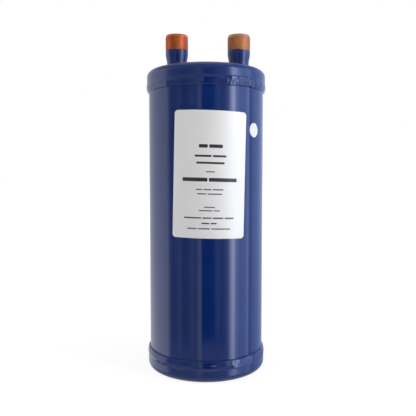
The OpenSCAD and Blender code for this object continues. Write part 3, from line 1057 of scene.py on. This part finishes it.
# Gain on a side's tones: from this height to that one, from this share to that one
LEFT_GAIN = (-0.7, 0.6, 1.22, 0.92)
RIGHT_GAIN = (-0.7, 0.05, 0.66, 1.0)
DARK_LOW, DARK_HIGH, DARK_EDGE = -0.52, 0.72, 0.10
OVER_TONE, UNDER_TONE = 0.48, 0.42
GROUND_Z = -0.9
# Tone of the ground: from this distance to that one, from this tone to that one
GROUND_TONES = (0.6, 0.95, 0.85, 0.62)


def glow_only(name):
    """An emission material of a stage piece: its tree and the emission's inputs."""
    material, bench = stage_finish(name)
    glow = bench.node("ShaderNodeEmission")
    bench.node("ShaderNodeOutputMaterial", {0: glow.outputs[0]})
    return material, bench, glow.inputs


def room_walls():
    """Tones round the object, between the foot and the head of the soft boxes."""
    material, bench, glow = glow_only("room walls")
    bench.feed(glow["Strength"], ROOM_LEVEL)
    place = bench.axes(bench.object_place())
    angle = bench.calc("ARCTAN2", place["X"], bench.times(place["Y"], -1.0))
    share = bench.ramp(angle, math.radians(ROOM_FROM), math.radians(ROOM_TO))
    tones = bench.node("ShaderNodeValToRGB", {0: share})
    stops = tones.color_ramp.elements
    while len(stops) < len(ROOM_TONES):
        stops.new(0.5)
    for stop, (degrees, tone) in zip(stops, ROOM_TONES):
        stop.position = (degrees - ROOM_FROM) / (ROOM_TO - ROOM_FROM)
        level = tone / ROOM_LEVEL
        stop.color = (level, level, level, 1)
    foot = bench.ramp(place["Z"], BOX_LOW - BOX_EDGE, BOX_LOW, smooth=True)
    head = bench.ramp(place["Z"], BOX_HIGH + BOX_EDGE, BOX_HIGH, smooth=True)
    on_right = bench.calc("GREATER_THAN", angle, 0.0)
    left_gain = bench.ramp(place["Z"], *LEFT_GAIN)
    gain = bench.mix(on_right, left_gain, bench.ramp(place["Z"], *RIGHT_GAIN))
    boxes = bench.times(tones.outputs[0], bench.times(bench.times(foot, head), gain))
    over_level = OVER_TONE / ROOM_LEVEL
    over = bench.ramp(place["Z"], DARK_HIGH, DARK_HIGH + DARK_EDGE, 0.0, over_level, smooth=True)
    under_level = UNDER_TONE / ROOM_LEVEL
    under = bench.ramp(place["Z"], DARK_LOW, DARK_LOW - DARK_EDGE, 0.0, under_level, smooth=True)
    level = bench.larger(boxes, bench.larger(over, under))
    cool = bench.ramp(angle, COOL_FROM, COOL_TO, smooth=True)
    tint = bench.mix_colour(cool, WHITE, COOL_TINT)
    bench.feed(glow["Color"], bench.mix_colour(1.0, tint, level, blend_type="MULTIPLY"))
    return material


def room_ground():
    """Bright under the vessel, dark further out."""
    material, bench, glow = glow_only("room ground")
    axes = bench.axes(bench.object_place())
    away = bench.calc("SQRT", bench.times_plus(axes["X"], axes["X"], bench.square(axes["Y"])))
    bench.feed(glow["Strength"], bench.ramp(away, *GROUND_TONES, smooth=True))
    return material


def only_in_gloss(piece):
    piece.visible_camera = False
    piece.visible_diffuse = False
    piece.visible_shadow = False
    piece.visible_transmission = False
    piece.visible_volume_scatter = False


room_turns = [ROOM_FROM + (ROOM_TO - ROOM_FROM) * i / ROOM_STEPS for i in range(ROOM_STEPS + 1)]
room_angles = [math.radians(turn) for turn in room_turns]
room_corners = [
    (ROOM_R * math.sin(a), -ROOM_R * math.cos(a), z) for a in room_angles for z in (ROOM_LOW, ROOM_HIGH)
]
room_faces = [(2 * i, 2 * i + 2, 2 * i + 3, 2 * i + 1) for i in range(ROOM_STEPS)]
only_in_gloss(stage_mesh("room_walls", room_corners, room_faces, room_walls()))
only_in_gloss(stage_disc("room_ground", ROOM_R, GROUND_Z, room_ground()))

# Lamps: name, degrees from the front, distance, height, width, own height, radiance
LAMPS = [
    ("right softbox", 69.0, 1.6, 0.2, 1.40, 2.4, 1.25),
    ("right softbox tube", 55.0, 1.45, 0.2, 0.17, 2.4, 6.0),
    ("left softbox", -101.0, 1.6, 0.2, 1.40, 2.4, 1.35),
    ("right fill", 82.0, 1.6, 0.9, 1.3, 1.3, 1.8),
    ("left fill", -85.0, 1.6, 0.9, 1.3, 1.3, 1.1),
]


def lamp(name, degrees, distance, height, width, tall, radiance):
    """A rectangular lamp at an angle from the front, aimed at the middle of the vessel."""
    light = bpy.data.lights.new(name, "AREA")
    light.shape = "RECTANGLE"
    light.size = width
    light.size_y = tall
    light.energy = radiance * math.pi * width * tall
    piece = bpy.data.objects.new(name, light)
    bpy.context.scene.collection.objects.link(piece)
    turn = math.radians(degrees)
    piece.location = (distance * math.sin(turn), -distance * math.cos(turn), height)
    tip = math.atan2(height - body_top / 2, distance)
    piece.rotation_euler = (math.pi / 2 - tip, 0, turn)
    piece.visible_glossy = False
    piece.visible_camera = False


for lamp_values in LAMPS:
    lamp(*lamp_values)

# Camera
camera = bpy.data.cameras.new("camera")
camera.lens = LENS
camera.sensor_width = SENSOR
camera.clip_start = CLIP_NEAR
camera.clip_end = CLIP_FAR
camera_piece = bpy.data.objects.new("camera", camera)
bpy.context.scene.collection.objects.link(camera_piece)
camera_piece.location = CAMERA_PLACE
camera_piece.rotation_euler = (math.pi / 2 - CAMERA_DOWN, 0, 0)
bpy.context.scene.camera = camera_piece
bpy.context.scene.view_settings.view_transform = "Standard"

low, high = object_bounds()
